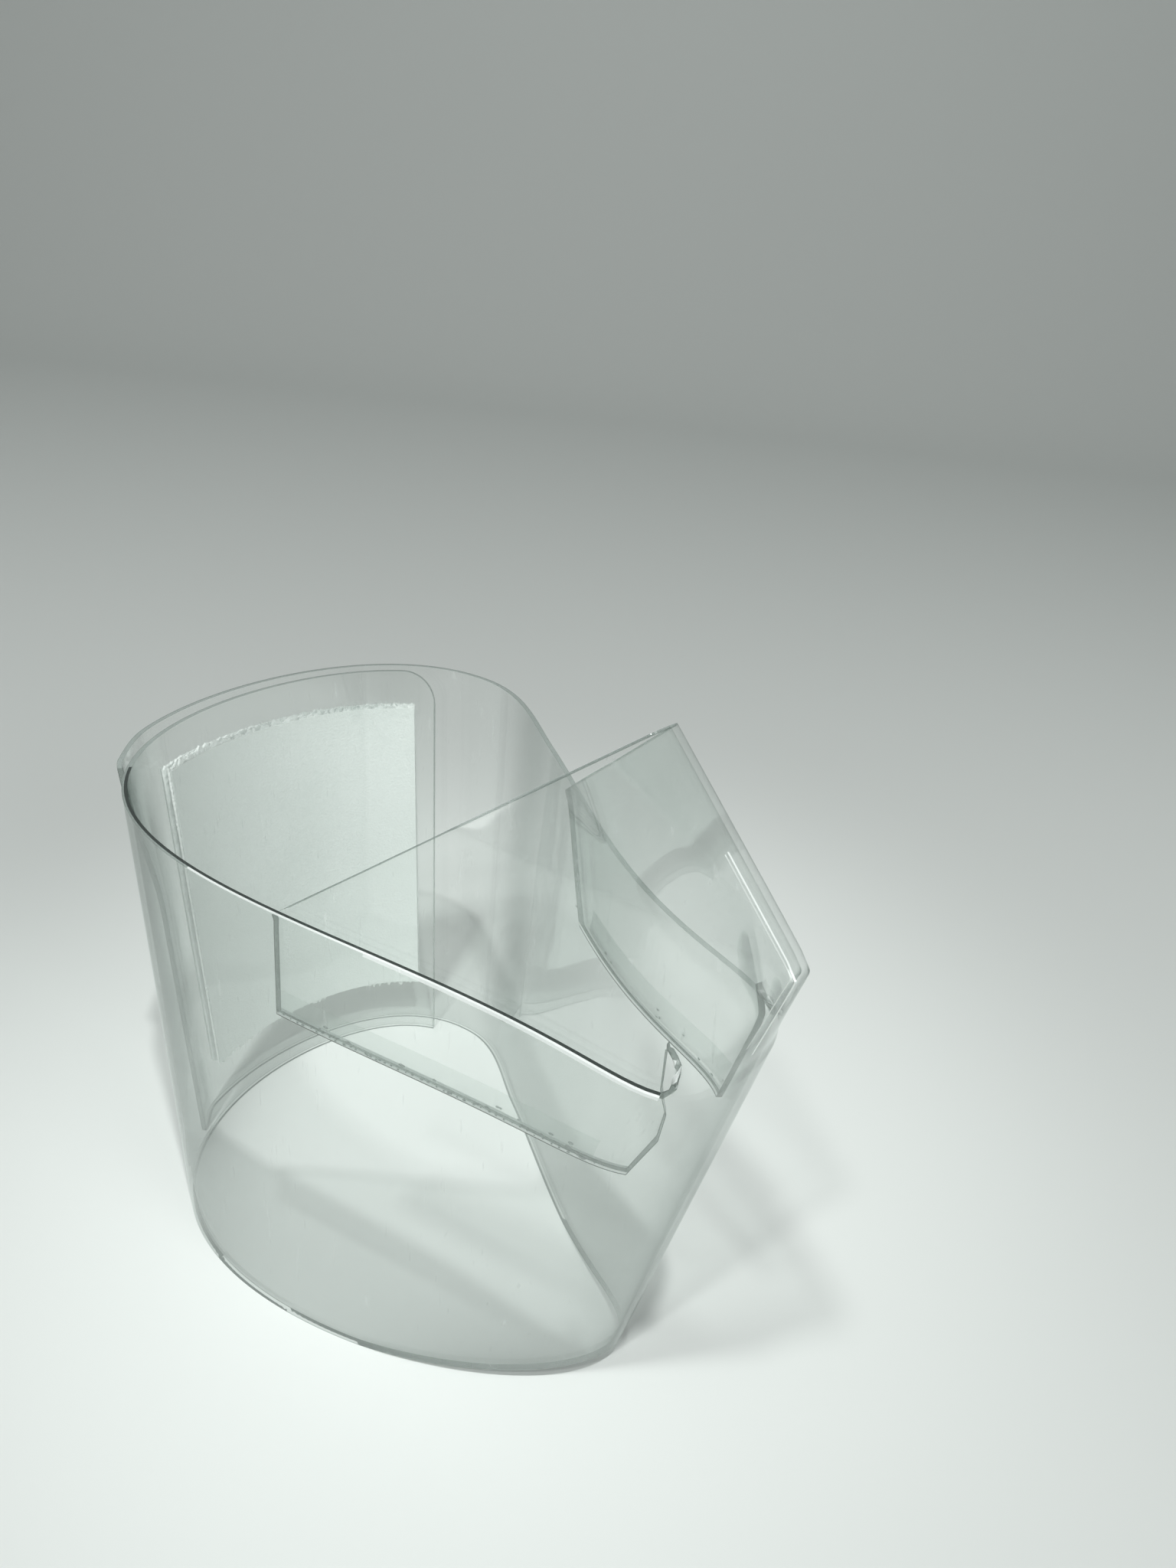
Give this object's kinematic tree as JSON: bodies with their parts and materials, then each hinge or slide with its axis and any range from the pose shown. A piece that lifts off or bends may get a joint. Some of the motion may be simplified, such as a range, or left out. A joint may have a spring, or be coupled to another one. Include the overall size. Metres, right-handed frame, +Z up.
{
  "type": "platform shoe protector",
  "caption": "Clear flexible sheet wrapped as a flared band round a shoe platform, with a folded toe hood and a hook-and-loop closure at the heel end.",
  "frame": {"origin": "middle of the bounding box at the bottom, on the surface that the part stands on", "axes": "+X toward the toe, +Y toward the side where the outer ply's peel line is, +Z up"},
  "size_m": [0.1282, 0.0746, 0.1101],
  "materials": {
    "clear_sheet": "clear gloss",
    "loop_fabric": "soft white pile",
    "hook_fabric": "white hook tape",
    "pad_adhesive": "white self-adhesive film",
    "clear_tape": "clear double-sided tape"
  },
  "bodies": {
    "protector": {"band_wall": "clear_sheet", "toe_hood": "clear_sheet", "near_wing_tape": "clear_tape", "far_wing_tape": "clear_tape", "loop_pad": "loop_fabric", "loop_pad_adhesive": "pad_adhesive"},
    "closure_tail": {"band_tail": "clear_sheet", "hook_pad": "hook_fabric", "hook_pad_adhesive": "pad_adhesive"}
  },
  "joints": [
    {"name": "tail_peel", "type": "hinge", "parent": "protector", "child": "closure_tail", "pos_m": [-0.0433, 0.03246, 0.03725], "axis": [0.1497, -0.0785, -0.9856], "range_deg": [0, 60]}
  ]
}
